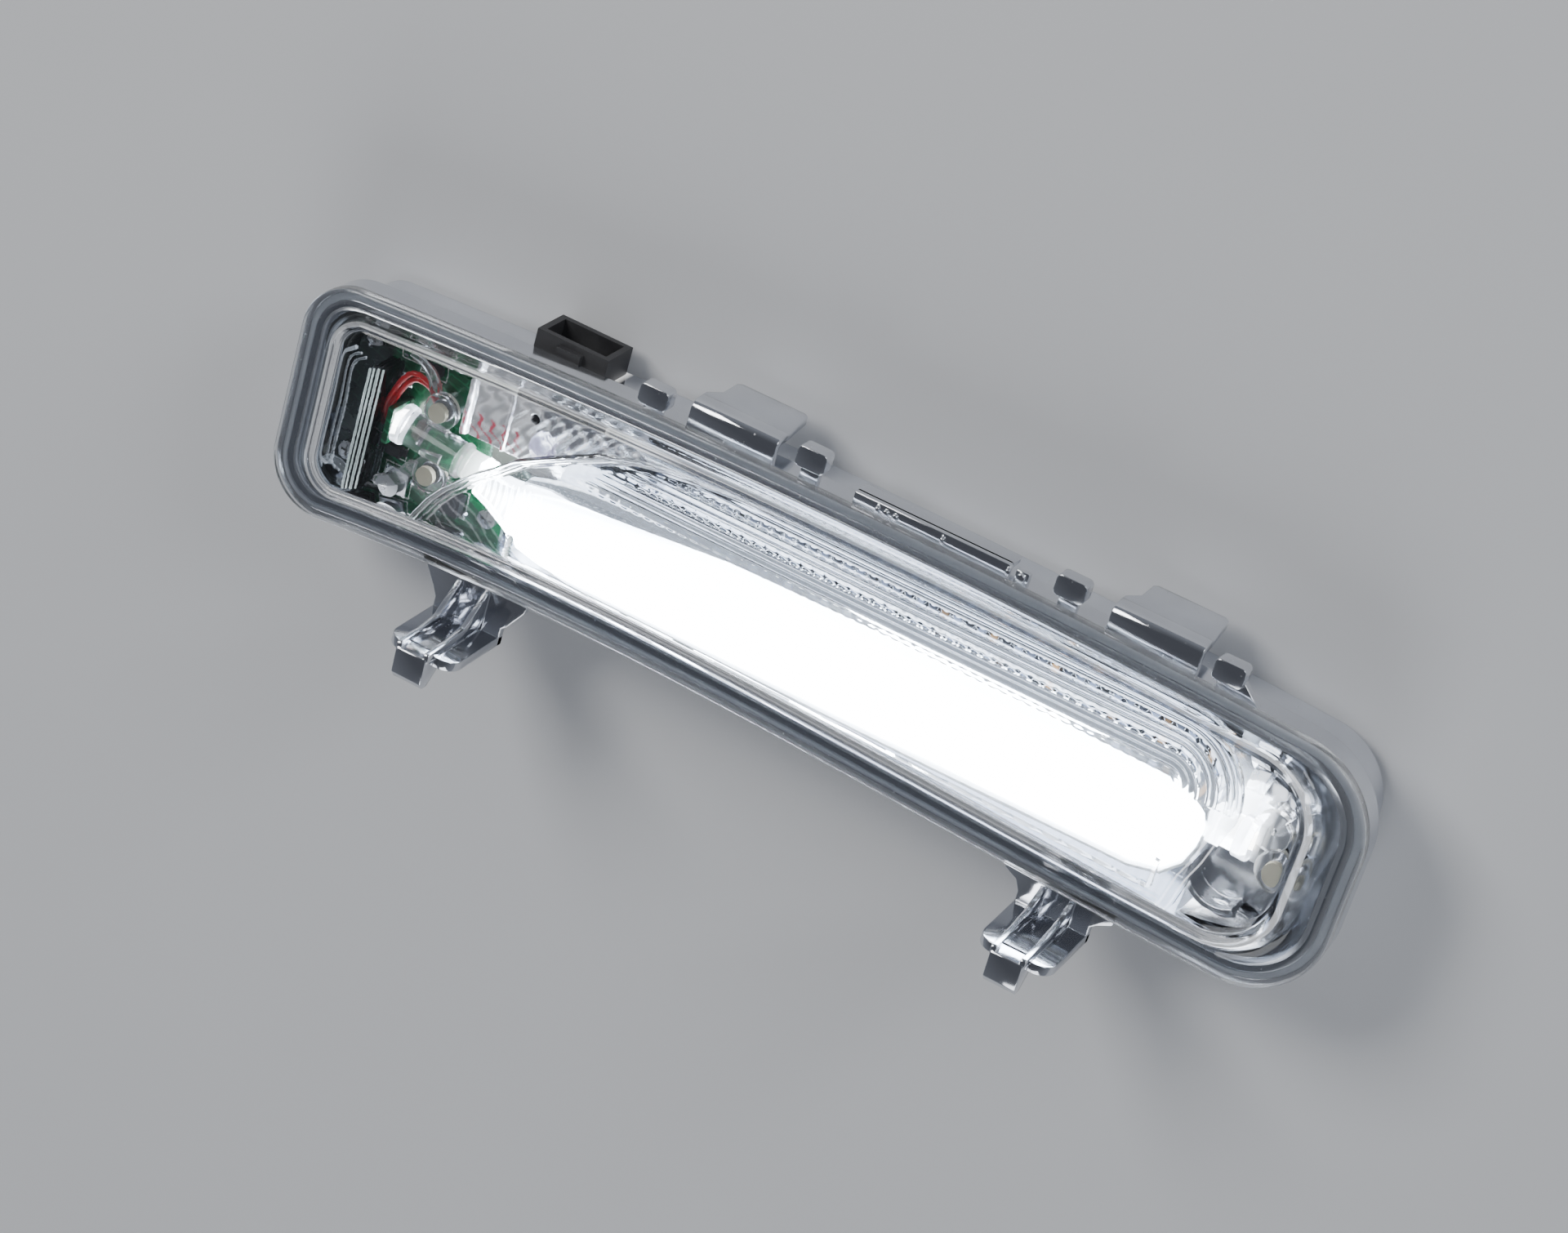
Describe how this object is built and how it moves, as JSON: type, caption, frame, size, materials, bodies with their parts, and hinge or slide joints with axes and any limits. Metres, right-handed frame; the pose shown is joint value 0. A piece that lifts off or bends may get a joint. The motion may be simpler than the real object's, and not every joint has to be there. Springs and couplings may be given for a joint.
{
  "type": "daytime running light",
  "caption": "Long curved daytime running light with a clear lens, an edge-lit light blade and snap hooks and tongues for a bumper opening.",
  "frame": {"origin": "on the floor plane that the back ribs rest on, under the centre of the overall box", "axes": "+X along the lamp towards its rounded end, +Y towards the tongues, +Z out of the lens"},
  "size_m": [0.26, 0.084, 0.0465],
  "materials": {
    "clear_cover": "clear polycarbonate, polished",
    "seal": "matt",
    "plated_body": "metallised plastic, mirror bright",
    "clear_optic": "clear acrylic, polished",
    "guide": "clear acrylic, lit from its ends",
    "tray": "white reflector plastic, lit",
    "plated_trim": "metallised plastic, satin",
    "board": "green solder resist, semi-gloss",
    "parts_black": "moulded epoxy",
    "can": "drawn can, satin",
    "ferrite": "sintered, matt",
    "chip_parts": "ceramic with tinned ends",
    "emitter": "phosphor, lit",
    "collar": "white, lit through",
    "stud": "natural nylon",
    "screw": "zinc plated",
    "wire_red": "insulation, smooth",
    "wire_black": "insulation, smooth",
    "socket": "glass-filled nylon, matt",
    "contact": "tinned brass",
    "vent": "matt"
  },
  "bodies": {
    "root": {"outer_lens": "clear_cover", "seal_bead": "seal", "housing": "plated_body", "inner_lens": "clear_optic", "light_guide": "guide", "light_tray": "tray", "left_reflector": "plated_trim", "right_reflector": "plated_trim", "partition": "clear_optic", "left_frame": "clear_optic", "driver_board": "board", "driver_chip": "parts_black", "capacitor": "can", "inductor": "ferrite", "diode": "parts_black", "resistors": "chip_parts", "left_led_board": "board", "left_led": "emitter", "left_collar": "collar", "right_led_board": "board", "right_led": "emitter", "right_collar": "collar", "left_studs": "stud", "right_stud": "stud", "board_screws": "screw", "red_wires": "wire_red", "feed_wires": "wire_black", "connector_shell": "socket", "connector_pins": "contact", "vent_cap": "vent"}
  },
  "joints": []
}
